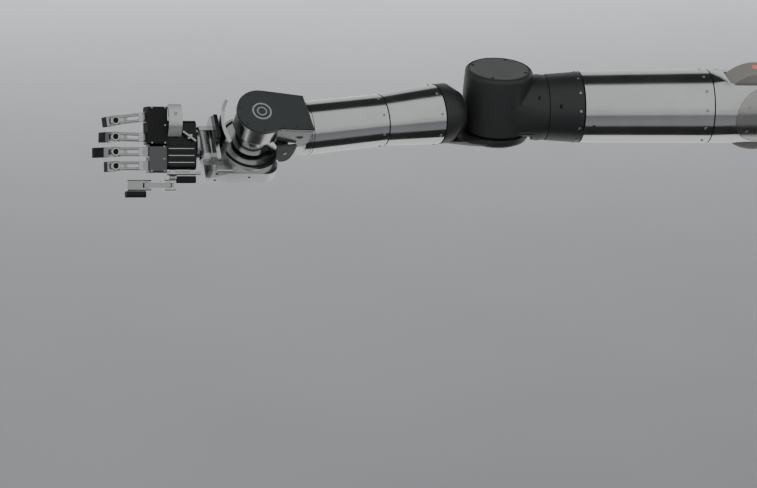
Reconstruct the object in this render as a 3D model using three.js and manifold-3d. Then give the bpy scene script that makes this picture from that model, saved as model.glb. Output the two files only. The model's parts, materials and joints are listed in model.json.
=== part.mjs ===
// Humanoid-style robot arm with a five-fingered hand, drawn in millimetres with +Z up.
// The origin is the centre of the shoulder mounting face and +X is that face's outward normal,
// so the arm reaches along -X. Each nested group below is one moving body of the arm.
import * as THREE from 'three';
import { mergeVertices } from 'three/addons/utils/BufferGeometryUtils.js';
import Module from 'manifold-3d';

const wasm = await Module();
wasm.setup();

// ---- driving dimensions -------------------------------------------------------------------
const GAP = 0.3;                      // clearance between neighbouring pieces
const ROUND = { big: 40, mid: 26, small: 16, pin: 10 }; // sides of a round section, by size
const FLANGE_TO_PITCH = 86;           // mounting face to shoulder pitch axis
const PITCH_TO_ELBOW = 320;           // shoulder pitch axis to elbow axis
const ELBOW_TO_WRIST = 312;           // elbow axis to wrist yaw axis
const ELBOW_BEND = 14.1;              // rest pose, degrees
const FOREARM_TWIST = 33;
const WRIST_SET = -7.4;
const PALM_TILT = 32;                 // fixed roll of the palm on its wrist adapter

const FLANGE = { radius: 55, thick: 12, boltCircle: 43, bolts: 8, bolt: 3.3 };
const SHOULDER = { radius: 51, half: 18, bevel: 2.5, neckHalfWidth: 17, neckHalfHeight: 32 };
const LIGHT = { from: 66, to: 98, width: 12, depth: 2.6 };
const SLEEVE = { radius: 45, slot: 18.6, clear: 52.5, topCut: 37, cutFrom: -54, cutTo: -38 };
const PIVOT = { cover: 34, seat: 28, pin: 13.7 };
const UPPER = { rollSeam: 260, tubeStart: 100, wall: 4, rElbow: 43, rShoulder: 45 };
const COLLAR = { start: 58, rNeck: 40, rTube: 43, bore: 34 };
const ELBOW = { radius: 41, top: 50, bottom: -26, neck: 39.3, round: 5, cavity: 35, cap: 36.6 };
const YOKE = { tube: 80, face: 66, nose: 50, rCollar: 36, rNose: 25, waist: 28,
  earRadius: 40.5, earTop: -27.3, earBottom: -38, capSeat: 34 };
const FORE = { seam: 152, end: 250, rElbow: 35.8, rSeam: 30.8, rWrist: 31.3, wall: 3.6 };
const WRIST = { drum: 28.5, plate: 29.5, blockBottom: 16.2, blockTop: 41.5, plateTop: 46, neck: 22 };
const BASE = { boss: 38, side: -40, top: -18, step: -24, bottom: -42, end: -56, farSide: 22, nose: 31 };
const SHELL = { inner: 41, outer: 45, half: 35, top: 33 };
const HINGE = { x: -58, z: -12, radius: 8, pin: 3.6, half: 15.7, y: -8 };
const PALM = { rear: -70, front: -105.5, near: -42, far: 15, bottom: -20, top: 8 };
const KNUCKLE_X = -118;
const FINGER = { length: 47, width: 11, tongue: 5, high: 4.8, pin: 1.8, distal: 13, tip: 23 };
const FINGERS = [                     // seat across the palm, toe-in, rest curl of the far joint
  { name: 'little', y: 20, splay: 6.5, curl: 80 },
  { name: 'ring', y: -5.5, splay: -2, curl: 72 },
  { name: 'middle', y: -21.3, splay: 0, curl: 56 },
  { name: 'index', y: -37.5, splay: 0, curl: 84 },
];
const THUMB = { rollX: -92, y: -50, z: -8, flexX: -100, midX: -126, tip: 23 };

// ---- solids -------------------------------------------------------------------------------
const deg = THREE.MathUtils.degToRad;

/** Turns a closed three.js geometry into a solid, with its shared vertices merged. */
function solid(geometry) {
  const bare = geometry.clone();
  bare.deleteAttribute('normal');
  bare.deleteAttribute('uv');
  const merged = mergeVertices(bare, 1e-4);
  const at = merged.attributes.position;
  const faces = [];
  let volume = 0;
  const [a, b, c] = [new THREE.Vector3(), new THREE.Vector3(), new THREE.Vector3()];
  for (let i = 0; i < merged.index.count; i += 3) {
    const [p, q, r] = [merged.index.getX(i), merged.index.getX(i + 1), merged.index.getX(i + 2)];
    if (p === q || q === r || r === p) continue;
    faces.push([p, q, r]);
    a.fromBufferAttribute(at, p);
    b.fromBufferAttribute(at, q);
    c.fromBufferAttribute(at, r);
    volume += a.dot(b.cross(c));
  }
  const triVerts = new Uint32Array(faces.flatMap((f) => (volume < 0 ? [f[0], f[2], f[1]] : f)));
  const vertProperties = new Float32Array(at.array);
  return new wasm.Manifold(new wasm.Mesh({ numProp: 3, vertProperties, triVerts }));
}

/** Joins or cuts solids: unite(a, b, ...) and cut(a, b, ...). */
const unite = (first, ...rest) => rest.reduce((sum, next) => sum.add(next), first);
const cut = (first, ...rest) => rest.reduce((left, next) => left.subtract(next), first);
const within = (first, ...rest) => rest.reduce((left, next) => left.intersect(next), first);

function box([x0, x1], [y0, y1], [z0, z1]) {
  const geometry = new THREE.BoxGeometry(x1 - x0, y1 - y0, z1 - z0);
  geometry.translate((x0 + x1) / 2, (y0 + y1) / 2, (z0 + z1) / 2);
  return solid(geometry);
}

/** Box whose edges along one axis are rounded, drawn as an extruded outline. */
function softBox([x0, x1], [y0, y1], [z0, z1], radius, axis = 'z') {
  const spans = { x: [[y0, y1], [z0, z1], [x0, x1]], y: [[z0, z1], [x0, x1], [y0, y1]] };
  const [u, v, w] = spans[axis] ?? [[x0, x1], [y0, y1], [z0, z1]];
  const shape = new THREE.Shape();
  const r = radius;
  shape.absarc(u[1] - r, v[1] - r, r, 0, Math.PI / 2);
  shape.absarc(u[0] + r, v[1] - r, r, Math.PI / 2, Math.PI);
  shape.absarc(u[0] + r, v[0] + r, r, Math.PI, Math.PI * 1.5);
  shape.absarc(u[1] - r, v[0] + r, r, Math.PI * 1.5, Math.PI * 2);
  return extrude(shape, w, axis, 4);
}

/** Extrudes an outline along an axis: the outline's own axes are the next two in XYZ order. */
function extrude(shape, [from, to], axis = 'z', curveSegments = 12) {
  const options = { depth: to - from, bevelEnabled: false, curveSegments };
  const geometry = new THREE.ExtrudeGeometry(shape, options);
  geometry.translate(0, 0, from);
  const cycle = { x: [1, 2, 0], y: [2, 0, 1], z: [0, 1, 2] }[axis];
  const at = geometry.attributes.position;
  const turned = new Float32Array(at.count * 3);
  for (let i = 0; i < at.count; i += 1) {
    const from3 = [at.getX(i), at.getY(i), at.getZ(i)];
    cycle.forEach((target, source) => { turned[i * 3 + target] = from3[source]; });
  }
  geometry.setAttribute('position', new THREE.BufferAttribute(turned, 3));
  return solid(geometry);
}

function polygon(points) {
  return new THREE.Shape(points.map(([x, y]) => new THREE.Vector2(x, y)));
}

/** Turned body from a profile of [radius, place along the axis], closed on the axis. */
function turned(profile, axis = 'z', segments = ROUND.big) {
  const points = profile.map(([r, h]) => new THREE.Vector2(r, h));
  const geometry = new THREE.LatheGeometry(points, segments);
  if (axis === 'z') geometry.rotateX(Math.PI / 2);
  if (axis === 'x') geometry.rotateZ(-Math.PI / 2);
  return solid(geometry);
}

function rod(radius, [from, to], axis = 'z', centre = [0, 0, 0], segments = ROUND.mid) {
  const profile = [[0, from], [radius, from], [radius, to], [0, to]];
  return turned(profile, axis, segments).translate(centre);
}

/** Ring or tube with a straight or tapering wall, closed on itself. */
function sleeve(outer, inner, [from, to], axis, segments = ROUND.big) {
  const [o0, o1] = [].concat(outer, outer);
  const [i0, i1] = [].concat(inner, inner);
  return turned([[i0, from], [o0, from], [o1, to], [i1, to], [i0, from]], axis, segments);
}

/** Capsule-shaped outline between two pivots, as a plate across the Y axis. */
function link([x0, z0, r0], [x1, z1, r1], [y0, y1]) {
  const along = Math.atan2(z1 - z0, x1 - x0);
  const lean = Math.acos((r0 - r1) / Math.hypot(x1 - x0, z1 - z0));
  const shape = new THREE.Shape();
  const [start, end] = [along + lean, along - lean + Math.PI * 2];
  shape.absarc(x0, z0, r0, start, end);
  shape.absarc(x1, z1, r1, end, start + Math.PI * 2);
  const flat = extrude(shape, [-y1, -y0], 'z', 5);
  return flat.rotate([90, 0, 0]);
}

// ---- scene graph --------------------------------------------------------------------------
const FINISH = {
  tube: [0xb4b7b6, 0.24, 1],
  chrome: [0xa4a5a3, 0.14, 1],
  charcoal: [0x26282a, 0.5, 0.1],
  cap: [0x494d4c, 0.55, 0.2],
  slate: [0x34393b, 0.42, 0.3],
  taupe: [0x85847f, 0.5, 0.2],
  gloss: [0x16181a, 0.16, 0.1],
  rubber: [0x101112, 0.75, 0],
  steel: [0x8d9092, 0.3, 1],
  motor: [0x5a5d60, 0.45, 0.8],
  light: [0xe04838, 0.3, 0],
};

/** Adds one named piece to a body's group. */
function piece(body, name, shape, finish) {
  const mesh = shape.getMesh();
  const geometry = new THREE.BufferGeometry();
  geometry.setAttribute('position', new THREE.BufferAttribute(mesh.vertProperties, 3));
  geometry.setIndex(new THREE.BufferAttribute(mesh.triVerts, 1));
  geometry.computeVertexNormals();
  const [color, roughness, metalness] = FINISH[finish];
  const material = new THREE.MeshStandardMaterial({ color, roughness, metalness });
  const object = new THREE.Mesh(geometry, material);
  object.name = name;
  body.add(object);
}

/** Adds a body's group at a place in its parent, turned about one of the parent's axes. */
function body(parent, name, [x, y, z] = [0, 0, 0], turn = {}) {
  const group = new THREE.Group();
  group.name = name;
  group.position.set(x, y, z);
  group.rotation.set(deg(turn.x ?? 0), deg(turn.y ?? 0), deg(turn.z ?? 0));
  parent.add(group);
  return group;
}

// ---- shoulder: flange, pitch drum, light, fork sleeve ---------------------------------------
function buildShoulder(root) {
  const f = FLANGE;
  const bolts = Array.from({ length: f.bolts }, (_, i) => {
    const angle = (i + 0.5) * (2 * Math.PI / f.bolts);
    const centre = [0, f.boltCircle * Math.cos(angle), f.boltCircle * Math.sin(angle)];
    return rod(f.bolt, [-f.thick - 1, 1], 'x', centre, ROUND.pin);
  });
  const plate = rod(f.radius, [-f.thick, 0], 'x', [0, 0, 0], ROUND.big);
  piece(root, 'shoulder_flange', cut(plate, ...bolts), 'steel');

  const s = SHOULDER;
  const x = -FLANGE_TO_PITCH;
  const drumProfile = [[0, -s.half], [s.radius - s.bevel, -s.half], [s.radius, -s.half + s.bevel],
    [s.radius, s.half - s.bevel], [s.radius - s.bevel, s.half], [0, s.half]];
  const drum = turned(drumProfile, 'y', ROUND.big);
  const neckEnd = FLANGE_TO_PITCH - f.thick - GAP;
  const neck = softBox([20, neckEnd], [-s.neckHalfWidth, s.neckHalfWidth],
    [-s.neckHalfHeight, s.neckHalfHeight], 5, 'x');
  const rim = (inner, outer, width, from, to) => {
    const arc = new THREE.Shape();
    arc.absarc(0, 0, outer, deg(from), deg(to));
    arc.absarc(0, 0, inner, deg(to), deg(from), true);
    return extrude(arc, [-width / 2, width / 2], 'z', 10).rotate([90, 0, 0]);
  };
  const pocket = rim(s.radius - LIGHT.depth, s.radius + 2, LIGHT.width, LIGHT.from, LIGHT.to);
  const bore = rod(PIVOT.pin + GAP, [-s.half - 1, s.half + 1], 'y');
  const housing = cut(unite(drum, neck), pocket, bore);
  piece(root, 'shoulder_housing', housing.translate([x, 0, 0]), 'taupe');
  const lens = rim(s.radius - LIGHT.depth + GAP, s.radius - GAP, LIGHT.width - 2 * GAP,
    LIGHT.from + 0.5, LIGHT.to - 0.5);
  piece(root, 'shoulder_status_light', lens.translate([x, 0, 0]), 'light');
}

function buildSleeve(root) {
  const fork = body(root, 'shoulder_fork', [-FLANGE_TO_PITCH, 0, 0]);
  const s = SLEEVE;
  const start = UPPER.rollSeam + GAP - PITCH_TO_ELBOW;
  const outer = turned([[0, start], [s.radius, start], [s.radius, s.radius], [0, s.radius]], 'x');
  const nose = unite(box([start - 1, 0], [-60, 60], [-60, 60]),
    rod(s.radius, [-60, 60], 'y', [0, 0, 0], ROUND.big));
  const topCut = extrude(polygon([[s.radius + 8, s.cutFrom], [s.radius + 8, 60], [s.topCut, 60],
    [s.topCut, s.cutTo], [s.radius, s.cutFrom]]), [-60, 60], 'y');
  const slot = unite(rod(s.clear, [-s.slot, s.slot], 'y', [0, 0, 0], ROUND.big),
    box([0, 60], [-s.slot, s.slot], [-60, 60]));
  const seats = [[-60, -PIVOT.seat], [PIVOT.seat, 60]].map((span) => rod(PIVOT.cover, span, 'y'));
  const pinBore = rod(PIVOT.pin + GAP, [-40, 40], 'y');
  const bearingBore = rod(30 + GAP, [start - 2, -40], 'x');
  piece(fork, 'shoulder_sleeve',
    cut(within(outer, nose), topCut, slot, ...seats, pinBore, bearingBore), 'tube');
  const skin = turned([[0, -50], [s.radius - GAP, -50], [s.radius - GAP, 50], [0, 50]], 'x');
  for (const [side, label] of [[-1, 'front'], [1, 'rear']]) {
    const span = side < 0 ? [-60, -PIVOT.seat - GAP] : [PIVOT.seat + GAP, 60];
    const disc = rod(PIVOT.cover - GAP, span, 'y', [0, 0, 0], ROUND.big);
    const cover = cut(within(skin, disc), topCut.translate([0, 0, -GAP]));
    piece(fork, `pivot_cover_${label}`, cover, 'taupe');
  }
  piece(fork, 'shoulder_pitch_axle', rod(PIVOT.pin, [-PIVOT.seat + GAP, PIVOT.seat - GAP], 'y'), 'steel');
  const roll = sleeve(30, 20, [start - 9, start + 6], 'x', ROUND.mid);
  piece(fork, 'upper_roll_bearing', roll, 'steel');
  return fork;
}

// ---- upper arm: tube, roll actuator, collar, elbow drum -------------------------------------
function buildUpperArm(fork) {
  const upper = body(fork, 'upper_arm', [-PITCH_TO_ELBOW, 0, 0]);
  const u = UPPER;
  const span = [u.tubeStart + GAP, u.rollSeam - GAP];
  const tube = sleeve([u.rElbow, u.rShoulder], [u.rElbow - u.wall, u.rShoulder - u.wall], span, 'x');
  piece(upper, 'upper_arm_tube', tube, 'tube');
  const motor = turned([[0, 186], [33, 186], [38, 191], [38, 240], [33, 245], [19.5, 245],
    [19.5, 262], [0, 262]], 'x', ROUND.mid);
  piece(upper, 'upper_roll_actuator', motor, 'motor');

  const c = COLLAR;
  const collar = sleeve([c.rNeck, c.rTube], c.bore, [c.start + GAP, u.tubeStart - GAP], 'x');
  piece(upper, 'elbow_collar', collar, 'charcoal');

  const e = ELBOW;
  const profile = [[0, e.bottom], [e.radius - 3, e.bottom], [e.radius, e.bottom + 3],
    [e.radius + 0.8, 12], [e.radius, e.top - e.round - 1]];
  for (let i = 1; i <= 4; i += 1) {
    const angle = (i / 4) * (Math.PI / 2);
    profile.push([e.radius - e.round * (1 - Math.cos(angle)), e.top - e.round * (1 - Math.sin(angle))]);
  }
  profile.push([0, e.top]);
  const drum = turned(profile, 'z', ROUND.big);
  const neck = turned([[0, 12], [e.neck, 12], [e.neck, c.start - GAP], [0, c.start - GAP]], 'x', ROUND.big);
  const flare = turned([[0, 38], [e.neck - 1, 38], [e.neck + 0.9, 48], [e.neck, c.start - GAP],
    [0, c.start - GAP]], 'x', ROUND.big);
  const below = rod(e.radius + 2.6, [-60, e.bottom - 0.2], 'z', [0, 0, 0], ROUND.big);
  const above = box([-60, 41], [-60, 60], [e.bottom - 40, e.bottom]);
  const hollow = rod(e.cavity, [e.bottom + 6, e.top + 1], 'z', [0, 0, 0], ROUND.big);
  const shaftBore = rod(14 + GAP, [-60, 0], 'z');
  const capSeat = rod(e.cap + GAP, [e.top - 4.6, e.top + 1], 'z', [0, 0, 0], ROUND.big);
  const casing = cut(unite(drum, neck, flare), below, above, hollow, capSeat, shaftBore);
  piece(upper, 'elbow_drum', casing, 'charcoal');
  const cap = turned([[0, e.top - 4.3], [e.cap, e.top - 4.3], [e.cap, e.top - 1],
    [e.cap - 0.8, e.top - 0.2], [0, e.top - 0.2]], 'z', ROUND.big);
  piece(upper, 'elbow_top_cap', cap, 'cap');
  const elbowMotor = sleeve(e.cavity - 1, 15, [e.bottom + 6.4, e.top - 8], 'z', ROUND.mid);
  piece(upper, 'elbow_actuator', elbowMotor, 'motor');
  return upper;
}

// ---- forearm: yoke and ear under the drum, upper tube, roll actuator -------------------------
function buildForearm(upper) {
  const fore = body(upper, 'forearm', [0, 0, 0], { z: ELBOW_BEND });
  const y = YOKE;
  const ring = sleeve(y.rCollar, y.rCollar - 7, [-y.tube + GAP, -y.face], 'x');
  const shoulder = turned([[0, -y.face - 4], [y.rCollar - 0.2, -y.face - 4], [y.rCollar, -y.face],
    [y.rNose, -y.nose], [0, -y.nose]], 'x', ROUND.big);
  const drumClear = rod(ELBOW.radius + 1.6, [y.earTop, 60], 'z', [0, 0, 0], ROUND.big);
  const ear = turned([[0, y.earBottom], [y.earRadius - 5, y.earBottom],
    [y.earRadius - 1.5, y.earBottom + 2], [y.earRadius, y.earBottom + 5],
    [y.earRadius, y.earTop], [0, y.earTop]], 'z', ROUND.big);
  // The web narrows to a waist, so that it clears the drum's neck when the elbow is fully bent.
  const webSide = [[0, y.earRadius - 1], [-14, 38], [-30, 30], [-43, y.waist], [-y.face - 3, 33]];
  const webMirror = webSide.map(([a, b]) => [a, -b]).reverse();
  const webLimit = turned([[0, -y.face - 4], [y.rCollar - 0.1, -y.face - 4], [46, -24], [46, 10],
    [0, 10]], 'x', ROUND.big);
  const webOutline = polygon([...webSide, ...webMirror]);
  const web = within(extrude(webOutline, [y.earBottom, y.earTop]), webLimit);
  const capSeat = rod(y.capSeat + GAP, [-60, y.earBottom + 1.2], 'z', [0, 0, 0], ROUND.mid);
  const shaftBore = rod(14 + GAP, [-60, 0], 'z');
  const yoke = cut(unite(ring, shoulder, ear, web), drumClear, capSeat, shaftBore);
  piece(fore, 'elbow_yoke', yoke, 'charcoal');
  const earCap = turned([[0, y.earBottom - 2.2], [y.capSeat - 3, y.earBottom - 2.2],
    [y.capSeat, y.earBottom], [y.capSeat, y.earBottom + 0.9], [0, y.earBottom + 0.9]], 'z', ROUND.mid);
  piece(fore, 'elbow_ear_cap', earCap, 'cap');
  piece(fore, 'elbow_shaft', rod(14, [y.earBottom + 1.5, ELBOW.bottom + 14], 'z'), 'steel');

  const f = FORE;
  const span = [-f.seam + GAP, -y.tube - GAP];
  const tube = sleeve([f.rSeam, f.rElbow], [f.rSeam - f.wall, f.rElbow - f.wall], span, 'x');
  piece(fore, 'forearm_tube_upper', tube, 'tube');
  const motor = turned([[0, -160], [15, -160], [15, -142], [22, -142], [26, -138], [26, -96],
    [20, -92], [0, -92]], 'x', ROUND.mid);
  piece(fore, 'forearm_roll_actuator', motor, 'motor');
  return fore;
}

// ---- lower forearm: rolls on the upper one and carries the wrist drum ------------------------
function buildWristBody(fore) {
  const lower = body(fore, 'lower_forearm', [0, 0, 0], { x: FOREARM_TWIST });
  const f = FORE;
  const tube = sleeve([f.rWrist, f.rSeam], [f.rWrist - f.wall, f.rSeam - f.wall], [-f.end, -f.seam], 'x');
  piece(lower, 'forearm_tube_lower', tube, 'tube');
  piece(lower, 'forearm_roll_bearing', sleeve(26, 15.4, [-164, -153], 'x', ROUND.mid), 'steel');

  const wrist = new THREE.Group();
  wrist.position.set(-ELBOW_TO_WRIST, 0, 0);
  lower.add(wrist);
  const w = WRIST;
  const tubeFace = ELBOW_TO_WRIST - f.end - GAP;
  const frame = unite(rod(f.rWrist - 0.4, [tubeFace - 7, tubeFace], 'x', [0, 0, 0], ROUND.big),
    softBox([0, tubeFace - 3], [-19, 19], [-12.5, w.blockBottom - GAP], 4, 'x'),
    rod(w.neck, [-13, w.blockBottom - GAP], 'z', [0, 0, 0], ROUND.mid));
  const shaftBore = rod(9 + GAP, [-20, 9], 'z', [0, 0, 0], ROUND.small);
  piece(wrist, 'wrist_frame', cut(frame, shaftBore), 'chrome');
  const drum = turned([[0, w.blockBottom], [w.drum - 2, w.blockBottom], [w.drum, w.blockBottom + 2],
    [w.drum, w.blockTop], [0, w.blockTop]], 'z', ROUND.big);
  piece(wrist, 'wrist_drum', drum, 'chrome');
  const tailOutline = polygon([[7, 27.4], [54, 14.4], [54, -31.8], [13, -24.4]]);
  const tail = extrude(tailOutline, [w.blockBottom, w.blockTop]);
  const ovalHole = rod(3, [-40, -26], 'y', [0, 0, 0], ROUND.pin).scale([1.5, 1, 1]);
  const drumSeat = rod(w.drum + GAP, [0, 60], 'z', [0, 0, 0], ROUND.big);
  piece(wrist, 'wrist_tail_block', cut(tail, drumSeat, ovalHole.translate([42, 0, 28])), 'tube');
  const plateSpan = [w.blockTop + GAP, w.plateTop];
  const plateTail = polygon([[8, 28.4], [55, 15.2], [55.4, -32.6], [14, -25.9]]);
  const plate = unite(rod(w.plate, plateSpan, 'z', [0, 0, 0], ROUND.big), extrude(plateTail, plateSpan));
  piece(wrist, 'wrist_top_plate', plate, 'slate');
  const finOutline = new THREE.Shape();
  finOutline.moveTo(15.6, 17);
  finOutline.lineTo(15.6, 41);
  finOutline.quadraticCurveTo(-2, 42, -12, 37);
  finOutline.quadraticCurveTo(-17.5, 31, -14, 25);
  finOutline.quadraticCurveTo(-4, 18, 15.6, 17);
  const finPost = rod(7, [-30, -19 - GAP], 'y', [29, 0, 3], ROUND.small);
  piece(wrist, 'wrist_side_shield', unite(extrude(finOutline, [-33, -29.6], 'y', 6), finPost), 'cap');
  return wrist;
}

// ---- hand base: turns about the wrist axis ---------------------------------------------------
function buildHandBase(wrist) {
  const hand = body(wrist, 'hand_base', [0, 0, 0], { z: WRIST_SET });
  const b = BASE;
  const boss = rod(b.boss, [b.bottom + 4, b.top], 'z', [0, 0, 0], ROUND.big);
  const front = softBox([-44, b.nose], [b.side, b.farSide], [b.bottom, b.step], 14);
  const beam = softBox([b.end, -26], [b.side, b.farSide], [b.bottom, b.top], 2, 'x');
  const upright = softBox([-50, -SHELL.outer - 0.6], [b.side, b.farSide], [b.bottom + 4, 8], 5, 'x');
  const lug = (y0, y1) => unite(rod(HINGE.radius, [y0, y1], 'y', [HINGE.x, 0, HINGE.z], ROUND.small),
    box([HINGE.x, -48], [y0, y1], [HINGE.z - HINGE.radius, HINGE.z + HINGE.radius]));
  const lugSpan = HINGE.half + GAP;
  const lugs = [lug(HINGE.y - lugSpan - 6, HINGE.y - lugSpan), lug(HINGE.y + lugSpan, HINGE.y + lugSpan + 6)];
  const hinge = [HINGE.x, 0, HINGE.z];
  const between = [HINGE.y - lugSpan, HINGE.y + lugSpan];
  const hingeClear = rod(HINGE.radius + 1.4, between, 'y', hinge, ROUND.mid);
  const palmClear = box([-60, -50.5], [-60, 60], [b.top - 14, 20]);
  const core = cut(unite(boss, front, beam, upright), palmClear, box([-60, -50], [-60, 60], [-30, 20]));
  const wallClear = sleeve(SHELL.outer + GAP, SHELL.inner - GAP, [b.top + 0.1, 60], 'z', ROUND.big);
  const pinBore = rod(HINGE.pin + GAP, [-60, 60], 'y', hinge, ROUND.small);
  const shaftBore = rod(9 + GAP, [b.bottom + 4, 0], 'z', [0, 0, 0], ROUND.small);
  piece(hand, 'hand_base_housing',
    cut(unite(core, ...lugs), wallClear, hingeClear, pinBore, shaftBore), 'tube');
  piece(hand, 'wrist_shaft', rod(9, [b.bottom + 4 + GAP, 8], 'z', [0, 0, 0], ROUND.small), 'steel');

  const arc = new THREE.Shape();
  const [a0, a1] = [deg(180 - SHELL.half), deg(180 + SHELL.half)];
  arc.absarc(0, 0, SHELL.outer, a0, a1);
  arc.absarc(0, 0, SHELL.inner, a1, a0, true);
  const wall = extrude(arc, [b.top + GAP, SHELL.top + 4], 'z', 16);
  const slope = polygon([[-34, 16], [8, SHELL.top], [60, SHELL.top], [60, 70], [-34, 70]]);
  piece(hand, 'wrist_shell', cut(wall, extrude(slope, [-60, 0], 'x')), 'chrome');
  const coverSpan = [-50, -SHELL.outer - 0.6];
  piece(hand, 'hand_base_cover', softBox(coverSpan, [-19, 15], [8 + GAP, 20], 3, 'x'), 'gloss');
  const pinSpan = [between[0] - 6, between[1] + 6];
  piece(hand, 'wrist_pitch_pin', rod(HINGE.pin, pinSpan, 'y', hinge, ROUND.small), 'steel');
  return hand;
}

// ---- palm: tilts on the pitch pin, carries knuckles, rods and thumb motor ---------------------
function buildPalm(hand) {
  const palm = body(hand, 'palm', [HINGE.x, 0, HINGE.z]);
  const barrelSpan = [HINGE.y - HINGE.half, HINGE.y + HINGE.half];
  const barrel = rod(HINGE.radius - 0.4, barrelSpan, 'y', [0, 0, 0], ROUND.mid);
  const arm = box([-9.5, 0], [HINGE.y - 11, HINGE.y + 11], [-6, 6]);
  const disc = rod(18, [-11.7, -8.6], 'x', [0, HINGE.y, 0], ROUND.mid);
  const bore = rod(HINGE.pin + GAP, [-60, 60], 'y', [0, 0, 0], ROUND.small);
  piece(palm, 'palm_adapter', cut(unite(barrel, arm, disc), bore), 'steel');

  const rolled = new THREE.Group();
  rolled.position.set(-HINGE.x, 0, -HINGE.z);
  rolled.rotation.x = deg(PALM_TILT);
  palm.add(rolled);
  const p = PALM;
  const shell = softBox([p.front, p.rear - GAP], [p.near, p.far], [p.bottom, p.top], 7, 'x');
  piece(rolled, 'palm_body', shell, 'gloss');
  const padDepth = [p.bottom - 3, p.bottom - GAP];
  const pad = softBox([p.front + 3, p.rear - 5], [p.near + 8, p.far - 8], padDepth, 1.2, 'x');
  piece(rolled, 'palm_pad', pad, 'rubber');

  const k = KNUCKLE_X;
  const fingerSlots = FINGERS.map((finger) => {
    const half = FINGER.width / 2 + 0.5;
    const slot = unite(box([-14, 0], [-half, half], [-20, 6.6]),
      rod(6.6, [-half, half], 'y', [0, 0, 0], ROUND.small),
      box([-6.6, 6.6], [-half, half], [-20, 0]));
    return slot.rotate([0, 0, finger.splay]).translate([k, finger.y, 0]);
  });
  const axles = FINGERS.map((finger) => {
    const half = FINGER.width / 2 + 2;
    const axle = rod(FINGER.pin, [-half, half], 'y', [0, 0, 0], ROUND.pin);
    return axle.rotate([0, 0, finger.splay]).translate([k, finger.y, 0]);
  });
  const upperBlock = softBox([k - 11, p.front - GAP], [-12.8, 30.5], [-9, 14], 3, 'x');
  piece(rolled, 'knuckle_block_upper',
    unite(cut(upperBlock, fingerSlots[0], fingerSlots[1]), axles[0], axles[1]), 'rubber');
  const lowerBlock = softBox([k - 8, p.front - GAP], [-45.5, -13.1], [-9, 8.8], 3, 'x');
  piece(rolled, 'knuckle_block_lower',
    unite(cut(lowerBlock, fingerSlots[2], fingerSlots[3]), axles[2], axles[3]), 'steel');

  const coverOutline = new THREE.Shape();
  coverOutline.moveTo(-4, 9);
  coverOutline.quadraticCurveTo(14, 24, 33, 10);
  coverOutline.lineTo(31, 7.5);
  coverOutline.quadraticCurveTo(14, 20, -2, 8.4);
  const coverShell = extrude(coverOutline, [-106, -90], 'x', 8);
  const post = box([-103, -93], [3, 11], [8 + GAP, 20]);
  piece(rolled, 'palm_back_cover', unite(coverShell.translate([0, 0, 6.2]), post), 'tube');
  const rail = rod(2.2, [-104, -64], 'x', [0, -46, 1], ROUND.pin);
  const railFeet = [-100, -76].map((x) => box([x, x + 5], [-47, p.near - GAP], [-0.8, 2.8]));
  piece(rolled, 'palm_side_rail', unite(rail, ...railFeet), 'tube');
  const tendon = rod(1.6, [0, 19], 'x', [0, 0, 0], ROUND.pin).rotate([0, 0, -36]).translate([-88, 2, 15]);
  const tendonFoot = box([-82, -77], [-6.5, -1.5], [8 + GAP, 15.5]);
  piece(rolled, 'palm_push_rod', unite(tendon, tendonFoot), 'tube');
  piece(rolled, 'thumb_motor', softBox([-91, -69], [-57, -49], [-12, 0], 2, 'x'), 'rubber');
  return rolled;
}

// ---- fingers ---------------------------------------------------------------------------------
function buildFinger(palm, spec) {
  const { length, width, tongue, high, pin, distal, tip } = FINGER;
  const half = width / 2;
  const near = body(palm, `${spec.name}_proximal_link`, [KNUCKLE_X, spec.y, 0], { z: spec.splay });
  const beam = link([0, 0, high + 0.4], [-length, 0, high - 0.6], [-half, half]);
  const window = box([-length + 14, -14], [-1.7, 1.7], [-9, 9]);
  const forkClear = [-1, 1].map((side) => {
    const [y0, y1] = side < 0 ? [-9, -tongue / 2] : [tongue / 2, 9];
    return unite(rod(high + 2.3, [y0, y1], 'y', [-length, 0, 0], ROUND.small),
      box([-length - 9, -length], [y0, y1], [-9, 9]));
  });
  const bores = [0, -length].map((x) => rod(pin + GAP, [-9, 9], 'y', [x, 0, 0], ROUND.pin));
  piece(near, `${spec.name}_proximal`, cut(beam, window, ...forkClear, ...bores), 'chrome');

  const far = body(near, `${spec.name}_distal_link`, [-length, 0, 0], { y: -spec.curl });
  const cheek = link([0, 0, high], [-distal, 0, high - 0.4], [-half, half]);
  const tongueSpan = [-tongue / 2 - GAP, tongue / 2 + GAP];
  const tongueClear = unite(rod(high + 2.3, tongueSpan, 'y', [0, 0, 0], ROUND.small),
    box([0, 9], tongueSpan, [-9, 9]), box([-1, 1], tongueSpan, [-9, 0]));
  const trim = box([-distal - 9, -distal], [-9, 9], [-9, 9]);
  piece(far, `${spec.name}_distal`,
    cut(cheek, tongueClear, trim, rod(pin + GAP, [-9, 9], 'y', [0, 0, 0], ROUND.pin)), 'tube');
  piece(far, `${spec.name}_pin`, rod(pin, [-half, half], 'y', [0, 0, 0], ROUND.pin), 'steel');
  const reach = -distal - GAP;
  const side = new THREE.Shape();
  side.moveTo(reach, high - 0.6);
  side.lineTo(reach, -high - 1);
  side.lineTo(reach - tip * 0.7, -high - 1);
  side.quadraticCurveTo(reach - tip, -high, reach - tip, -1.5);
  side.quadraticCurveTo(reach - tip + 1, 2.2, reach - tip * 0.6, high - 1.2);
  const pad = extrude(side, [-half - 0.2, half + 0.2], 'z', 5).rotate([90, 0, 0]);
  piece(far, `${spec.name}_tip_pad`, pad, 'rubber');
}

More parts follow.
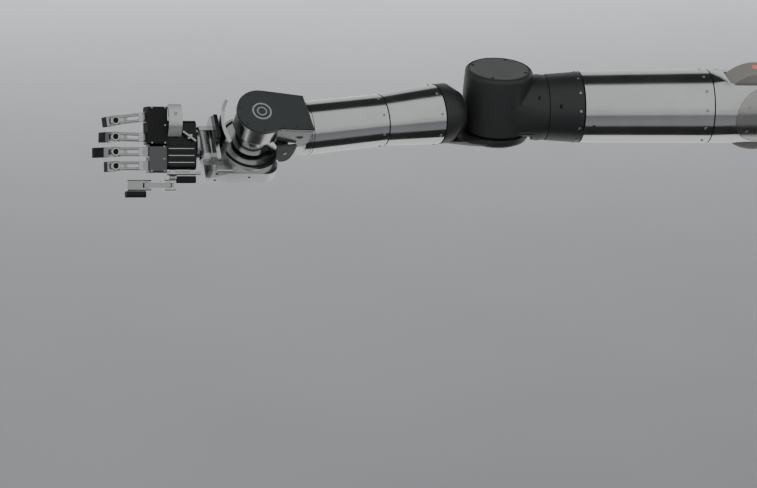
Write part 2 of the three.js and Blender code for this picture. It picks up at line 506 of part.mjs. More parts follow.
// ---- thumb: rotates under the palm, then flexes -----------------------------------------------
function buildThumb(palm) {
  const t = THUMB;
  const base = body(palm, 'thumb_base_link', [0, t.y, t.z]);
  const knob = rod(6, [t.rollX - 2, t.rollX + 1 - GAP], 'x', [0, 0, 0], ROUND.small);
  const stem = softBox([t.rollX - 14, t.rollX], [-16, -3], [-5, 5], 2, 'x');
  const clevis = box([t.flexX - 30, t.rollX - 3.4], [-12.7, -6.3], [-9, 9]);
  const flexPin = rod(1.8, [-15, -4], 'y', [t.flexX - 0.5, 0, 0], ROUND.pin);
  const neck = rod(4, [t.rollX - 8, t.rollX - 1], 'x', [0, 0, 0], ROUND.small);
  const block = unite(cut(unite(knob, neck, stem), clevis), flexPin);
  piece(base, 'thumb_base', block, 'tube');

  const near = body(base, 'thumb_proximal_link', [t.flexX - 0.5, -9.5, 0]);
  const reach = t.midX - t.flexX;
  const beam = link([0, 0, 4.6], [reach, 0, 4.2], [-2.8, 2.8]);
  const holes = [0, reach].map((x) => rod(2.1, [-9, 9], 'y', [x, 0, 0], ROUND.pin));
  piece(near, 'thumb_proximal', cut(beam, ...holes), 'chrome');

  const far = body(near, 'thumb_distal_link', [reach, 0, 0]);
  const tipBlock = softBox([-t.tip, 5], [-6.4, 6.4], [-5.6, 5.6], 2, 'x');
  const slot = box([-5.8, 9], [-3.2, 3.2], [-9, 9]);
  const tipPin = rod(1.8, [-5, 5], 'y', [0, 0, 0], ROUND.pin);
  piece(far, 'thumb_distal', unite(cut(tipBlock, slot), tipPin), 'tube');
  const pad = softBox([-t.tip - 1, -1], [-14, -6.4 - GAP], [-5.6, 5.6], 3, 'x');
  piece(far, 'thumb_tip_pad', pad, 'rubber');
}

const arm = new THREE.Group();
buildShoulder(arm);
const fork = buildSleeve(arm);
const upper = buildUpperArm(fork);
const forearm = buildForearm(upper);
const wristBody = buildWristBody(forearm);
const handBase = buildHandBase(wristBody);
const palmBody = buildPalm(handBase);
FINGERS.forEach((finger) => buildFinger(palmBody, finger));
buildThumb(palmBody);

export default arm;
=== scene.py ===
"""Looks of the humanoid robot arm: finishes, fasteners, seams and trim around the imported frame.

Metres throughout. Every place comes from the frame: joint axes give each body's own directions,
and small parts are set on a node's surface by casting a ray onto it.
"""

import json
import math

import bmesh
import bpy
from mathutils import Matrix, Vector
from mathutils.bvhtree import BVHTree


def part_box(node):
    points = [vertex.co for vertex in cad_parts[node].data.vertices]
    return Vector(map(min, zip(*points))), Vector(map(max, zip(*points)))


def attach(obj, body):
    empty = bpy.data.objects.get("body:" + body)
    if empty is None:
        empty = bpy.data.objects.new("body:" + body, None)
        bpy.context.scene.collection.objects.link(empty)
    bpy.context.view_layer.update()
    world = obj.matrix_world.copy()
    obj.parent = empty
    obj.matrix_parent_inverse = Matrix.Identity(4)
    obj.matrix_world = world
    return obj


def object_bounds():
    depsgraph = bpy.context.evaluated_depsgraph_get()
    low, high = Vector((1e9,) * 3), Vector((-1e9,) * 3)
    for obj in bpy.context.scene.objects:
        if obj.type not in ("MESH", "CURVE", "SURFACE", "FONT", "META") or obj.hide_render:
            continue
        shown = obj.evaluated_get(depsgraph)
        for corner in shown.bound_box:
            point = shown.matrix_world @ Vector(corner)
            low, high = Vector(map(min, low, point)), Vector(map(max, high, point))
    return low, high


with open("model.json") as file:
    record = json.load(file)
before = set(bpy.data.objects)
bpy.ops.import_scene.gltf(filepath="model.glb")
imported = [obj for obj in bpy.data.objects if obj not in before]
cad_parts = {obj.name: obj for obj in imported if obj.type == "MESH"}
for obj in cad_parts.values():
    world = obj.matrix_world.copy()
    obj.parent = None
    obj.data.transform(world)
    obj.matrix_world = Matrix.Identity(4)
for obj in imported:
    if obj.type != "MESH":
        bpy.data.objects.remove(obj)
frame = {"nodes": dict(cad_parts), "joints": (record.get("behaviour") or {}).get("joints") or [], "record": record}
CAD_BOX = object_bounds()
MM = 0.001

# ---- body directions, from the joints ------------------------------------------------------
JOINT = {joint["name"]: joint for joint in frame["joints"]}


def place(joint):
    return Vector(JOINT[joint]["pos_m"])


def axis(joint, sign=1):
    return Vector(JOINT[joint]["axis"]).normalized() * sign


class Axes:
    """Origin and directions of a body. at() takes millimetres along them."""

    def __init__(self, origin, x, z):
        self.origin, self.x, self.z = origin, x, z
        self.y = z.cross(x)

    def way(self, x, y, z):
        return self.x * x + self.y * y + self.z * z

    def at(self, x, y, z):
        return self.origin + self.way(x, y, z) * MM


X, Y, Z = Vector((1, 0, 0)), Vector((0, 1, 0)), Vector((0, 0, 1))
SHOULDER = Axes(place("shoulder_pitch"), X, Z)
UPPER = Axes(place("elbow_flex"), X, Z)
FORE = Axes(place("elbow_flex"), axis("forearm_roll"), Z)
LOWER = Axes(place("elbow_flex"), axis("forearm_roll"), axis("wrist_yaw"))
WRIST = Axes(place("wrist_yaw"), axis("forearm_roll"), axis("wrist_yaw"))
HAND_X = axis("wrist_pitch").cross(axis("wrist_yaw"))
HAND = Axes(place("wrist_yaw"), HAND_X, axis("wrist_yaw"))
PALM_Y = axis("middle_knuckle", -1)
PALM = Axes(place("wrist_yaw"), HAND_X, HAND_X.cross(PALM_Y))


# ---- surfaces ------------------------------------------------------------------------------
TREES = {}
OUTSIDE = 0.08                       # a ray toward a tube starts this far from its axis, metres
HIGH = 90                            # and toward a flat face this far out, in millimetres


def surface(node, start, toward):
    """Point where a ray from start meets a CAD node."""
    if node not in TREES:
        mesh = frame["nodes"][node].data
        corners = [vertex.co.copy() for vertex in mesh.vertices]
        TREES[node] = BVHTree.FromPolygons(corners, [tuple(f.vertices) for f in mesh.polygons])
    hit = TREES[node].ray_cast(start, toward)[0]
    if hit is None:
        raise ValueError(f"no surface of {node} from {tuple(start)}")
    return hit


# ---- mesh building -------------------------------------------------------------------------
PIECE_SHARP = math.radians(35)


class Piece:
    """Collects solids in one mesh, then makes the object."""

    def __init__(self):
        self.bm = bmesh.new()

    def loft(self, rings, cap=True):
        loops = [[self.bm.verts.new(point) for point in ring] for ring in rings]
        count = len(loops[0])
        for low, high in zip(loops, loops[1:]):
            for i in range(count):
                j = (i + 1) % count
                self.bm.faces.new((low[i], low[j], high[j], high[i]))
        if cap:
            self.bm.faces.new(loops[0][::-1])
            self.bm.faces.new(loops[-1])

    def lathe(self, base, normal, profile, sides=24, shape=None, cap=True):
        """Profile of (radius, height) in millimetres, turned about normal at base."""
        side = normal.orthogonal().normalized()
        other = normal.cross(side)
        rings = []
        for level, (radius, height) in enumerate(profile):
            ring = []
            for i in range(sides):
                angle = 2 * math.pi * i / sides
                reach = radius * (shape(level, angle) if shape else 1)
                spoke = side * math.cos(angle) + other * math.sin(angle)
                ring.append(base + (spoke * reach + normal * height) * MM)
            rings.append(ring)
        self.loft(rings, cap)

    def hoop(self, base, normal, profile, sides=96):
        """Closed band: the profile's last ring joins its first."""
        self.lathe(base, normal, profile + profile[:1], sides, cap=False)

    def slab(self, axes, low, high, chamfer=0.4):
        """Box with chamfered edges between two corners in a body's millimetres."""
        made = bmesh.ops.create_cube(self.bm, size=1)["verts"]
        middle = [(a + b) / 2 for a, b in zip(low, high)]
        sizes = [b - a for a, b in zip(low, high)]
        for vertex in made:
            spot = [m + s * c for m, s, c in zip(middle, sizes, vertex.co)]
            vertex.co = axes.at(*spot)
        edges = list({edge for vertex in made for edge in vertex.link_edges})
        bmesh.ops.bevel(self.bm, geom=edges, offset=chamfer * MM, segments=2, affect="EDGES")

    def done(self, name, body, material):
        """Makes the object, with its material, on a body."""
        bmesh.ops.remove_doubles(self.bm, verts=self.bm.verts, dist=1e-7)
        bmesh.ops.recalc_face_normals(self.bm, faces=self.bm.faces)
        mesh = bpy.data.meshes.new(name)
        self.bm.to_mesh(mesh)
        self.bm.free()
        obj = bpy.data.objects.new(name, mesh)
        bpy.context.scene.collection.objects.link(obj)
        mesh.materials.append(material)
        mesh.polygons.foreach_set("use_smooth", [True] * len(mesh.polygons))
        mesh.set_sharp_from_angle(angle=PIECE_SHARP)
        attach(obj, body)


def hexagon(angle):
    """Radius of a unit hexagon's side at an angle, so that a round ring becomes a key socket."""
    return math.cos(math.pi / 6) / math.cos((angle % (math.pi / 3)) - math.pi / 6)


def screw(piece, spot, normal, radius=1.9, proud=0.9, sunk=0.25):
    """Socket head screw standing on a surface: chamfered rim, hexagonal recess."""
    key, rim = radius * 0.56, radius * 0.16
    profile = [(radius, -sunk), (radius, proud - rim), (radius - rim, proud),
               (key + 0.12, proud), (key, proud - 0.15), (key, 0.12)]
    piece.lathe(spot, normal, profile,
                shape=lambda level, angle: hexagon(angle) if level >= 3 else 1)


def well(piece, spot, normal, radius, lip=0.28):
    """Countersunk hole: a dark dished disc with a fine raised lip; the dark disc is painted shade for the hole's
    depth.
    """
    profile = [(radius, -0.2), (radius, 0.1), (radius - lip, 0.14), (radius - lip, 0.03)]
    piece.lathe(spot, normal, profile)


def ring_of(axes, along, angles):
    """Point on a tube's axis and each outward direction, by degrees from +Z toward -Y."""
    for angle in angles:
        turn = math.radians(angle)
        out = axes.z * math.cos(turn) - axes.y * math.sin(turn)
        yield axes.origin + axes.x * along * MM, out


# ---- materials -----------------------------------------------------------------------------
class Nodes:
    """Short calls for building a material's node tree."""

    def __init__(self, name):
        self.material = bpy.data.materials.new(name)
        self.material.use_nodes = True
        self.tree = self.material.node_tree
        self.shader = self.tree.nodes["Principled BSDF"]
        self.coords = self.tree.nodes.new("ShaderNodeTexCoord").outputs["Object"]

    def node(self, kind, **inputs):
        made = self.tree.nodes.new("ShaderNode" + kind)
        for key, value in inputs.items():
            socket = made.inputs[key.replace("_", " ")]
            if isinstance(value, bpy.types.NodeSocket):
                self.tree.links.new(value, socket)
            else:
                socket.default_value = value
        return made

    def link(self, source, target):
        self.tree.links.new(source, target)

    def noise(self, scale, detail=3.0, vector=None):
        return self.node("TexNoise", Vector=vector or self.coords, Scale=scale,
                         Detail=detail).outputs["Fac"]

    def span(self, value, low, high, to_low, to_high):
        made = self.node("MapRange", Value=value)
        for key, number in (("From Min", low), ("From Max", high),
                            ("To Min", to_low), ("To Max", to_high)):
            made.inputs[key].default_value = number
        return made.outputs["Result"]

    def math(self, how, first, second):
        made = self.tree.nodes.new("ShaderNodeMath")
        made.operation = how
        for socket, value in zip(made.inputs, (first, second)):
            if isinstance(value, bpy.types.NodeSocket):
                self.link(value, socket)
            else:
                socket.default_value = value
        return made.outputs[0]

    def mix(self, factor, first, second):
        made = self.tree.nodes.new("ShaderNodeMix")
        made.data_type = "RGBA"
        for name, value in (("Factor_Float", factor), ("A_Color", first), ("B_Color", second)):
            socket = next(s for s in made.inputs if s.identifier == name)
            if isinstance(value, bpy.types.NodeSocket):
                self.link(value, socket)
            else:
                socket.default_value = value
        return next(s for s in made.outputs if s.identifier == "Result_Color")

    def wear(self, radius):
        """0 on flat ground, rising to 1 along edges, broken up by noise."""
        bevel = self.tree.nodes.new("ShaderNodeBevel")
        bevel.samples = 4
        bevel.inputs["Radius"].default_value = radius
        plain = self.tree.nodes.new("ShaderNodeNewGeometry").outputs["Normal"]
        dot = self.tree.nodes.new("ShaderNodeVectorMath")
        dot.operation = "DOT_PRODUCT"
        self.link(bevel.outputs[0], dot.inputs[0])
        self.link(plain, dot.inputs[1])
        edge = self.span(dot.outputs["Value"], 0.97, 0.80, 0.0, 1.0)
        return self.math("MULTIPLY", edge, self.span(self.noise(420), 0.38, 0.62, 0.15, 1.0))

    def bump(self, height, distance):
        return self.node("Bump", Height=height, Distance=distance, Strength=1.0).outputs["Normal"]


def shade(colour, factor):
    """Colour made lighter or darker, with its alpha."""
    return (*[min(1.0, channel * factor) for channel in colour], 1)


SMUDGE = 0.05                        # how far handling marks change a metal's roughness


def bare_metal(name, colour, rough, along=None, brush=0.05, turning=0.000004):
    """Metal with handling marks; along gives the turning axis of its fine tool lines."""
    n = Nodes(name)
    n.shader.inputs["Metallic"].default_value = 1.0
    cloud = n.noise(26, 4)
    fine = n.noise(900, 2)
    if along is None:
        lines = n.noise(650, 3)
    else:
        dot = n.tree.nodes.new("ShaderNodeVectorMath")
        dot.operation = "DOT_PRODUCT"
        n.link(n.coords, dot.inputs[0])
        dot.inputs[1].default_value = along
        made = n.tree.nodes.new("ShaderNodeTexNoise")
        made.noise_dimensions = "1D"
        made.inputs["Scale"].default_value = 1700
        made.inputs["Detail"].default_value = 4
        n.link(dot.outputs["Value"], made.inputs["W"])
        lines = made.outputs["Fac"]
    edge = n.wear(0.0007)
    tone = n.mix(n.span(cloud, 0.35, 0.65, 0, 1), shade(colour, 0.95), shade(colour, 1.03))
    n.link(n.mix(edge, tone, shade(colour, 1.3)), n.shader.inputs["Base Color"])
    soft = n.span(cloud, 0.3, 0.7, rough - SMUDGE / 2, rough + SMUDGE / 2)
    soft = n.math("ADD", soft, n.span(lines, 0.3, 0.7, -brush / 2, brush / 2))
    n.link(n.math("ADD", soft, n.span(fine, 0.3, 0.7, -0.01, 0.01)), n.shader.inputs["Roughness"])
    n.link(n.bump(lines, turning), n.shader.inputs["Normal"])
    return n.material


def coated(name, colour, rough, metallic=0.0, grain=1500, depth=0.00001, edge_tone=2.4,
           coat=0.0, specular=0.5, speckle=0.08):
    """Anodised, painted or moulded skin: fine grain, cloudy sheen and rubbed edges."""
    n = Nodes(name)
    n.shader.inputs["Metallic"].default_value = metallic
    n.shader.inputs["Specular IOR Level"].default_value = specular
    n.shader.inputs["Coat Weight"].default_value = coat
    n.shader.inputs["Coat Roughness"].default_value = 0.08
    cloud, fine = n.noise(34, 4), n.noise(grain, 3)
    tone = n.mix(n.span(fine, 0.3, 0.7, 0, 1), shade(colour, 1 - speckle),
                 shade(colour, 1 + speckle))
    tone = n.mix(n.span(cloud, 0.4, 0.75, 0, 0.5), tone, shade(colour, 1.25))
    n.link(n.mix(n.wear(0.0009), tone, shade(colour, edge_tone)), n.shader.inputs["Base Color"])
    soft = n.span(cloud, 0.3, 0.7, rough - 0.04, rough + 0.06)
    n.link(n.math("ADD", soft, n.span(fine, 0.3, 0.7, -0.03, 0.03)), n.shader.inputs["Roughness"])
    n.link(n.bump(fine, depth), n.shader.inputs["Normal"])
    return n.material


def lamp(name):
    """Red light window, glowing unevenly through its plastic."""
    n = Nodes(name)
    n.shader.inputs["Base Color"].default_value = (0.7, 0.05, 0.03, 1)
    n.shader.inputs["Emission Color"].default_value = (1.0, 0.13, 0.09, 1)
    n.link(n.span(n.noise(160, 2), 0.3, 0.7, 0.35, 0.6), n.shader.inputs["Emission Strength"])
    n.link(n.span(n.noise(500, 2), 0.3, 0.7, 0.25, 0.4), n.shader.inputs["Roughness"])
    return n.material


ALUMINIUM = (0.66, 0.67, 0.665)
tube_upper = bare_metal("turned_tube_upper", ALUMINIUM, 0.15, X)
tube_fore = bare_metal("turned_tube_forearm", ALUMINIUM, 0.15, FORE.x)
milled = bare_metal("milled_aluminium", (0.6, 0.61, 0.605), 0.24)
polished = bare_metal("polished_links", (0.57, 0.575, 0.57), 0.15, brush=0.03)
# Same polished metal as the links above, made darker: painted shade for the dark reflections on the fingers.
links = bare_metal("finger_links_painted_shade", (0.43, 0.435, 0.43), 0.2, brush=0.04)
satin = bare_metal("satin_pivot_cover", (0.46, 0.455, 0.44), 0.27, brush=0.04)
gunmetal = bare_metal("gunmetal_block", (0.13, 0.135, 0.14), 0.34, brush=0.04, turning=0.000002)
ground = bare_metal("ground_steel", (0.42, 0.43, 0.44), 0.26)
motor = coated("actuator_metal", (0.12, 0.125, 0.13), 0.4, 0.8)
charcoal = coated("charcoal_casing", (0.023, 0.0235, 0.024), 0.42, speckle=0.12)
graphite = coated("graphite_cap", (0.062, 0.066, 0.065), 0.46, edge_tone=1.9)
slate = coated("slate_plate", (0.036, 0.041, 0.043), 0.36, edge_tone=2.1)
taupe = coated("taupe_casing", (0.23, 0.222, 0.205), 0.42, edge_tone=1.4)
gloss = coated("gloss_shell", (0.006, 0.0065, 0.007), 0.24, coat=0.15, depth=0.000003,
               specular=0.3)
rubber = coated("black_rubber", (0.010, 0.010, 0.0105), 0.68, grain=2200, depth=0.00003,
                edge_tone=1.8, specular=0.35)
# Near-black for dark joint lines, and painted shade on the discs in holes and bores whose depth is not modelled.
recess = coated("dark_joint_and_painted_hole_shade", (0.006, 0.006, 0.006), 0.6, specular=0.25)
status = lamp("status_lens")

BY_SLOT = {
    "brushed_tube": milled, "polished_link": polished, "charcoal_casing": charcoal,
    "graphite_cap": graphite, "slate_plate": slate, "taupe_casing": taupe, "gloss_shell": gloss,
    "black_rubber": rubber, "steel": ground, "actuator_metal": motor, "status_lens": status,
}
SPECIAL = {
    "pivot_cover_front": satin, "pivot_cover_rear": satin, "knuckle_block_lower": gunmetal,
    "upper_arm_tube": tube_upper, "shoulder_sleeve": tube_upper,
    "forearm_tube_upper": tube_fore, "forearm_tube_lower": tube_fore,
}
FINE_EDGES = ("_pin", "_distal", "_proximal", "_tip_pad", "thumb_", "palm_push", "palm_side")
EDGE, FINE_EDGE = 0.55 * MM, 0.28 * MM
SHARP = math.radians(40)


def dress(obj, material, edge):
    """Gives a CAD node its finish, rounded edges and smooth shading. Its own mesh stays."""
    mesh = obj.data
    mesh.materials.clear()
    mesh.materials.append(material)
    if "custom_normal" in mesh.attributes:
        mesh.attributes.remove(mesh.attributes["custom_normal"])
    mesh.polygons.foreach_set("use_smooth", [True] * len(mesh.polygons))
    weld = obj.modifiers.new("weld", "WELD")
    weld.merge_threshold = 1e-6
    bevel = obj.modifiers.new("edges", "BEVEL")
    bevel.width, bevel.segments = edge, 2
    bevel.limit_method, bevel.angle_limit = "ANGLE", SHARP
    bevel.harden_normals = True


for part in frame["record"]["subparts"]:
    name = part["node"]
    small = any(word in name for word in FINE_EDGES)
    finish = SPECIAL.get(name, BY_SLOT[part["material_slot"]])
    # Finger links take the darker copy of the polished metal, which is painted shade.
    if name.endswith(("_proximal", "_distal")):
        finish = links
    dress(frame["nodes"][name], finish, FINE_EDGE if small else EDGE)


# ---- fasteners and seams on the arm --------------------------------------------------------
TWELVE = [15 + 30 * i for i in range(12)]
EIGHT = [22.5 + 45 * i for i in range(8)]


def tube_screws(name, node, body, axes, along, angles, radius=1.8):
    """Row of screws round a tube, each standing on the tube's real surface."""
    piece = Piece()
    for centre, out in ring_of(axes, along, angles):
        screw(piece, surface(node, centre + out * OUTSIDE, -out), out, radius)
    piece.done(name, body, ground)


tube_screws("upper_seam_screws", "upper_arm_tube", "upper_arm", UPPER, 250, TWELVE)
tube_screws("collar_screws", "elbow_collar", "upper_arm", UPPER, 95, TWELVE, 1.7)
tube_screws("forearm_elbow_screws", "forearm_tube_upper", "forearm", FORE, -86, EIGHT, 1.6)
tube_screws("forearm_seam_screws", "forearm_tube_lower", "lower_forearm", LOWER, -158, EIGHT, 1.5)


def dark_holes(name, node, body, axes, spots, radius):
    """Small dark wells, painted shade for holes. Each spot is (along, angle) round a tube."""
    piece = Piece()
    for along, angle in spots:
        for centre, out in ring_of(axes, along, [angle]):
            well(piece, surface(node, centre + out * OUTSIDE, -out), out, radius)
    piece.done(name, body, recess)


dark_holes("collar_port", "elbow_collar", "upper_arm", UPPER, [(72, 67), (72, 247)], 2.9)
dark_holes("neck_port", "elbow_drum", "upper_arm", UPPER, [(46, 52)], 2.5)
dark_holes("tube_locator", "upper_arm_tube", "upper_arm", UPPER, [(112, 100), (112, 280)], 1.5)


def seam(name, node, body, axes, along):
    """Fine dark sealing line near a tube's end, just proud of its skin."""
    base = axes.origin + axes.x * along * MM
    radius = (surface(node, base + axes.z * OUTSIDE, -axes.z) - base).length / MM
    inside, outside, half = radius - 0.2, radius + 0.1, 0.45
    piece = Piece()
    piece.hoop(base, axes.x, [(inside, -half), (outside, -half * 0.7),
                              (outside, half * 0.7), (inside, half)])
    piece.done(name, body, recess)


seam("upper_tube_rim", "upper_arm_tube", "upper_arm", UPPER, 259.2)
seam("upper_tube_foot", "upper_arm_tube", "upper_arm", UPPER, 100.9)
seam("forearm_rim", "forearm_tube_upper", "forearm", FORE, -151.2)
seam("forearm_foot", "forearm_tube_upper", "forearm", FORE, -80.9)
seam("wrist_rim", "forearm_tube_lower", "lower_forearm", LOWER, -247)

# ---- elbow ---------------------------------------------------------------------------------
CAP_SCREW_CIRCLE, EAR_SCREW_CIRCLE = 32.6, 26     # radii about the elbow axis
cap_top, ear_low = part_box("elbow_top_cap")[1].z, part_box("elbow_ear_cap")[0].z


def round_elbow(angle, radius, height):
    """Point at an angle and radius about the elbow axis, at a height in metres."""
    turn = math.radians(angle)
    spot = UPPER.origin + (X * math.cos(turn) + Y * math.sin(turn)) * radius * MM
    return Vector((spot.x, spot.y, height))


piece = Piece()
for angle in (-24, 66, 156, 246):
    well(piece, round_elbow(angle, CAP_SCREW_CIRCLE, cap_top), Z, 2.2)
piece.done("elbow_cap_screw_wells", "upper_arm", recess)

piece = Piece()
piece.hoop(round_elbow(0, 0, cap_top), Z,
           [(35.7, -0.15), (35.7, 0.06), (35.4, 0.06), (35.4, -0.15)])
piece.done("elbow_cap_line", "upper_arm", recess)

piece = Piece()
for angle in range(30, 390, 60):
    screw(piece, round_elbow(angle, EAR_SCREW_CIRCLE, ear_low), -Z, 1.9, proud=0.5)
piece.done("elbow_ear_screws", "forearm", ground)


# ---- wrist ---------------------------------------------------------------------------------
def on_top(node, axes, x, y):
    """Point on a node's top face above (x, y) in a body's millimetres."""
    return surface(node, axes.at(x, y, HIGH), -axes.z)


piece = Piece()
for x, y in ((14, 24), (34, 18), (52, 13), (50, -29), (35, -26.5), (20, -24),
             (-10, 24.5), (-25, 8), (-22, -15), (-4, -26)):
    screw(piece, on_top("wrist_top_plate", WRIST, x, y), WRIST.z, 1.5, proud=0.35)
piece.done("wrist_plate_screws", "lower_forearm", charcoal)

piece = Piece()
centre = on_top("wrist_top_plate", WRIST, 0, 0)
for outer, inner in ((11.5, 9.6), (6.0, 4.6)):
    piece.hoop(centre, WRIST.z, [(outer, -0.2), (outer, 0.16), (inner, 0.16), (inner, -0.2)])
piece.done("wrist_plate_inlay", "lower_forearm", polished)

# The lip runs along the plate's front edge, from LIP_START toward LIP_END.
LIP_START, LIP_END = (15, -26.3, 0), (55.2, -32.9, 0)
piece = Piece()
along_lip = (WRIST.way(*LIP_END) - WRIST.way(*LIP_START)).normalized()
lip = Axes(WRIST.at(*LIP_START), along_lip, WRIST.z)
piece.slab(lip, (0, -1.2, 41.7), (40.5, -0.1, 44.6), 0.3)
piece.done("wrist_plate_lip", "lower_forearm", polished)

piece = Piece()
spot = surface("wrist_side_shield", WRIST.at(29, -HIGH, 2), WRIST.y)
screw(piece, spot, -WRIST.y, 2.2, proud=0.7)
piece.done("wrist_shield_screw", "lower_forearm", ground)

# ---- hand base -----------------------------------------------------------------------------
piece = Piece()
for x, z in ((-4, -31), (-44, -24), (-44, -37)):
    well(piece, surface("hand_base_housing", HAND.at(x, -HIGH, z), HAND.y), -HAND.y, 1.5)
piece.done("hand_base_holes", "hand_base", recess)

piece = Piece()
piece.hoop(HAND.origin, HAND.z, [(34.8, -18.2), (34.8, -17.0), (32.4, -17.0), (32.4, -18.2)])
piece.done("wrist_seal", "hand_base", rubber)

# ---- shoulder ------------------------------------------------------------------------------
for label, side in (("front", -1), ("rear", 1)):
    piece = Piece()
    for x, z in ((-18, 15), (-18, -17), (20, -15)):
        spot = surface(f"pivot_cover_{label}", SHOULDER.at(x, side * HIGH, z), Y * -side)
        out = Vector((0, spot.y, spot.z)).normalized()
        screw(piece, spot, out, 1.9, proud=0.55)
    piece.done(f"pivot_cover_{label}_screws", "shoulder_fork", ground)

# ---- hand ----------------------------------------------------------------------------------
PALM_HIGH = 60                       # clear of the palm's back, in millimetres

piece = Piece()
spot = on_top("palm_back_cover", PALM, -98, 22)
screw(piece, spot, (PALM.z + PALM.y * 0.35).normalized(), 2.0, proud=0.6)
piece.done("back_cover_screw", "palm", ground)

piece = Piece()
for x, y in ((-124, 29), (-108.5, 29), (-124, -11), (-108.5, -11), (-108.5, 9)):
    spot = surface("knuckle_block_upper", PALM.at(x, y, PALM_HIGH), -PALM.z)
    screw(piece, spot, PALM.z, 1.2, 0.3)
for x, y in ((-123.5, -43.3), (-108.5, -43.3), (-108.5, -29.4), (-108.5, -15.2)):
    spot = surface("knuckle_block_lower", PALM.at(x, y, PALM_HIGH), -PALM.z)
    screw(piece, spot, PALM.z, 1.2, 0.3)
piece.done("knuckle_screws", "palm", ground)

# Raised ribs along the back of the palm moulding, with a rod between each two.
palm_top = surface("palm_body", PALM.at(-88, -14, PALM_HIGH), -PALM.z)
rise = (palm_top - PALM.origin).dot(PALM.z) / MM
piece = Piece()
for y in (-38, -30, -22, -14):
    piece.slab(PALM, (-103, y, rise - 0.2), (-73, y + 4.6, rise + 1.5), 0.7)
piece.done("palm_back_ribs", "palm", gloss)

piece = Piece()
for y in (-33.7, -25.7, -17.7):
    piece.lathe(PALM.at(-104, y, rise + 1.4), PALM.x,
                [(0.4, 0), (1.0, 0.5), (1.0, 30.5), (0.4, 31)], sides=16)
piece.done("palm_tendon_rods", "palm", polished)


def finger_axes(finger):
    """Near link's axes (origin at the knuckle, x toward the palm, z out of its back), length."""
    knuckle, middle = place(f"{finger}_knuckle"), place(f"{finger}_middle_joint")
    x = (knuckle - middle).normalized()
    y = axis(f"{finger}_knuckle", -1)
    return Axes(knuckle, x, x.cross(y).normalized()), (knuckle - middle).length / MM


LINK_TOP = 5.0                       # height of a near link's back, in millimetres
PIN_HALF = 5.4                       # from the middle of a joint to its pin's end
for finger in ("little", "ring", "middle", "index"):
    axes, length = finger_axes(finger)
    near = f"{finger}_proximal_link"

    # Pair of push rods along the back, from an eye by the block to the ring over the joint.
    piece = Piece()
    for y in (-3.1, 3.1):
        start = axes.at(-length + 4, y, LINK_TOP + 1.1)
        piece.lathe(start, axes.x, [(0.6, 0), (1.15, 0.6), (1.15, 26.4), (0.6, 27)], sides=16)
    piece.slab(axes, (-20.5, -4.6, LINK_TOP - 0.4), (-15.5, 4.6, LINK_TOP + 2.3), 0.6)
    piece.done(f"{finger}_push_rods", near, polished)

    # Ring over the middle joint, standing on the fork's back; its bore is a dark disc, painted shade.
    piece = Piece()
    centre = axes.at(-length, 0, 0)
    profile = [(5.2, 0), (5.2, 1.7), (4.7, 2.3), (3.4, 2.3), (3.0, 1.9), (3.0, 0)]
    piece.hoop(centre, axes.z, [(r, LINK_TOP + h) for r, h in profile], sides=40)
    piece.slab(axes, (-length + 3.6, -4.4, LINK_TOP - 0.5), (-length + 9, 4.4, LINK_TOP + 1.2))
    piece.done(f"{finger}_ring", near, polished)

    # Dark disc in the ring's bore: painted shade where the bore's depth is not modelled.
    piece = Piece()
    piece.lathe(axes.at(-length, 0, LINK_TOP), axes.z, [(2.9, 0), (2.9, 0.9), (2.3, 1.1)])
    piece.done(f"{finger}_ring_bore", near, recess)

    # Rivet heads at both ends of the middle joint.
    hinge = axis(f"{finger}_middle_joint")
    centre = place(f"{finger}_middle_joint")
    piece = Piece()
    for way in (-1, 1):
        piece.lathe(centre + hinge * way * PIN_HALF * MM, hinge * way,
                    [(2.9, -0.3), (2.9, 0.2), (2.5, 0.4), (1.3, 0.4), (1.0, 0.1)])
    piece.done(f"{finger}_rivets", f"{finger}_distal_link", ground)

# ---- stage, lights, camera, size -----------------------------------------------------------
FLOOR_DROP, FLOOR_REACH = 0.75, 9.0


def sheet(name, low, high, level):
    """Flat rectangle between two (x, y) corners at a height."""
    mesh = bpy.data.meshes.new(name)
    corners = [(low[0], low[1], 0), (high[0], low[1], 0), (high[0], high[1], 0),
               (low[0], high[1], 0)]
    mesh.from_pydata(corners, [], [(0, 1, 2, 3)])
    obj = bpy.data.objects.new(name, mesh)
    obj.location.z = level
    bpy.context.scene.collection.objects.link(obj)
    return obj


floor = sheet("floor", (-FLOOR_REACH, -FLOOR_REACH), (FLOOR_REACH, FLOOR_REACH),
              CAD_BOX[0].z - FLOOR_DROP)
n = Nodes("pale_floor")
n.link(n.mix(n.span(n.noise(3, 2), 0.3, 0.7, 0, 1), (0.38, 0.385, 0.407, 1),
             (0.398, 0.403, 0.425, 1)), n.shader.inputs["Base Color"])
n.shader.inputs["Roughness"].default_value = 0.85
n.shader.inputs["Specular IOR Level"].default_value = 0.2
floor.data.materials.append(n.material)

# Studio surround round the arm's length, from the front horizon (0) over the top (0.5) to the
# one behind (1): bright in front, a dark gap high behind, and light again low behind.
SURROUND = [(0.0, 0.50), (0.10, 0.64), (0.50, 0.68), (0.520, 0.62), (0.560, 0.03),
            (0.79, 0.035), (0.84, 0.60), (1.0, 0.75)]
world = bpy.data.worlds.new("studio")
bpy.context.scene.world = world
world.use_nodes = True
tree = world.node_tree
split = tree.nodes.new("ShaderNodeSeparateXYZ")
tree.links.new(tree.nodes.new("ShaderNodeTexCoord").outputs["Generated"], split.inputs[0])


def world_math(how, *values):
    """Math node in the world's tree; each value is a number or another node's output."""
    made = tree.nodes.new("ShaderNodeMath")
    made.operation = how
    for socket, value in zip(made.inputs, values):
        if isinstance(value, bpy.types.NodeSocket):
            tree.links.new(value, socket)
        else:
            socket.default_value = value
    return made.outputs[0]


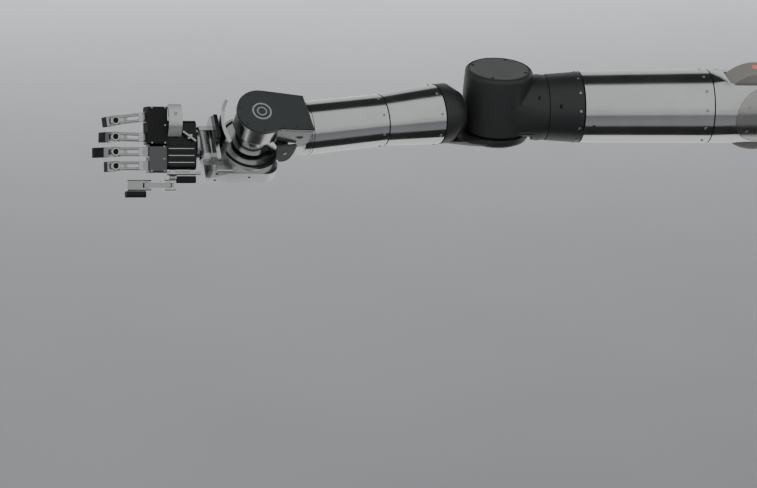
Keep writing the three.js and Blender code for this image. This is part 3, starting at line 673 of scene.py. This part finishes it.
frontward = world_math("MULTIPLY", split.outputs["Y"], -1)
half_turns = world_math("DIVIDE", world_math("ARCTAN2", split.outputs["Z"], frontward), math.pi)
ramp = tree.nodes.new("ShaderNodeValToRGB")
while len(ramp.color_ramp.elements) < len(SURROUND):
    ramp.color_ramp.elements.new(0.5)
for element, (spot, level) in zip(ramp.color_ramp.elements, SURROUND):
    element.position = spot
    element.color = (level * 0.985, level, level, 1)
tree.links.new(half_turns, ramp.inputs[0])
tree.links.new(ramp.outputs[0], tree.nodes["Background"].inputs[0])

MIDDLE = (CAD_BOX[0] + CAD_BOX[1]) / 2


def softbox(name, offset, aim, size, power):
    """Area light hung at an offset from the middle of the arm, facing along aim."""
    data = bpy.data.lights.new(name, "AREA")
    data.shape, data.energy = "RECTANGLE", power
    data.size, data.size_y = size
    light = bpy.data.objects.new(name, data)
    light.location = MIDDLE + Vector(offset)
    light.rotation_euler = Vector(aim).to_track_quat("-Z", "Y").to_euler()
    light.visible_glossy = False
    bpy.context.scene.collection.objects.link(light)


softbox("key", (-1.0, -1.6, 2.6), (1.0, 1.6, -2.6), (1.5, 1.5), 30)
softbox("backdrop_wash", (0.1, 4.1, 0.39), (0, -0.05, -1), (4.2, 0.8), 235)

CARD_LEVEL, CARD_ENDS = -0.6, (-2.0, 1.4)


def card(name, near, far, colour, glow=0.0):
    """Studio card below the arm that only reflections see: from near to far across Y."""
    obj = sheet(name, (CARD_ENDS[0], near), (CARD_ENDS[1], far), CARD_LEVEL)
    n = Nodes(name)
    n.link(n.span(n.noise(4, 1), 0.3, 0.7, 0.8, 0.9), n.shader.inputs["Roughness"])
    n.shader.inputs["Base Color"].default_value = (*colour, 1)
    n.shader.inputs["Emission Color"].default_value = (1, 1, 1, 1)
    n.shader.inputs["Emission Strength"].default_value = glow
    obj.data.materials.append(n.material)
    for ray in ("camera", "diffuse", "shadow", "transmission"):
        setattr(obj, f"visible_{ray}", False)


# The dark band along the tubes' underside, and the bright edge below it.
card("dark_card", -0.68, -0.12, (0.02, 0.02, 0.02))
card("bright_card", -0.11, 1.2, (0.4, 0.4, 0.4), 0.55)

# Camera: a long lens a little to the hand side, above, and rolled with the arm.
AZIMUTH, ELEVATION, ROLL = map(math.radians, (-12.32, 21.81, 4.25))
DISTANCE, FOCAL, SENSOR = 3.587, 141.6, 36.0
CENTRE_RIGHT, CENTRE_UP = -0.1416, -0.1646      # middle of the view, from the elbow
back = Vector((math.sin(AZIMUTH) * math.cos(ELEVATION),
               -math.cos(AZIMUTH) * math.cos(ELEVATION), math.sin(ELEVATION)))
level_right = Vector((math.cos(AZIMUTH), math.sin(AZIMUTH), 0))
level_up = back.cross(level_right)
right = level_right * math.cos(ROLL) + level_up * math.sin(ROLL)
up = level_up * math.cos(ROLL) - level_right * math.sin(ROLL)
aim = (right * CENTRE_RIGHT + up * CENTRE_UP - back * DISTANCE).normalized()
data = bpy.data.cameras.new("camera")
data.lens, data.sensor_width, data.sensor_fit = FOCAL, SENSOR, "HORIZONTAL"
camera = bpy.data.objects.new("camera", data)
view_back = -aim
view_right = up.cross(view_back).normalized()
view_up = view_back.cross(view_right)
turned = Matrix((view_right, view_up, view_back)).transposed().to_4x4()
camera.matrix_world = Matrix.Translation(UPPER.origin + back * DISTANCE) @ turned
bpy.context.scene.collection.objects.link(camera)
bpy.context.scene.camera = camera
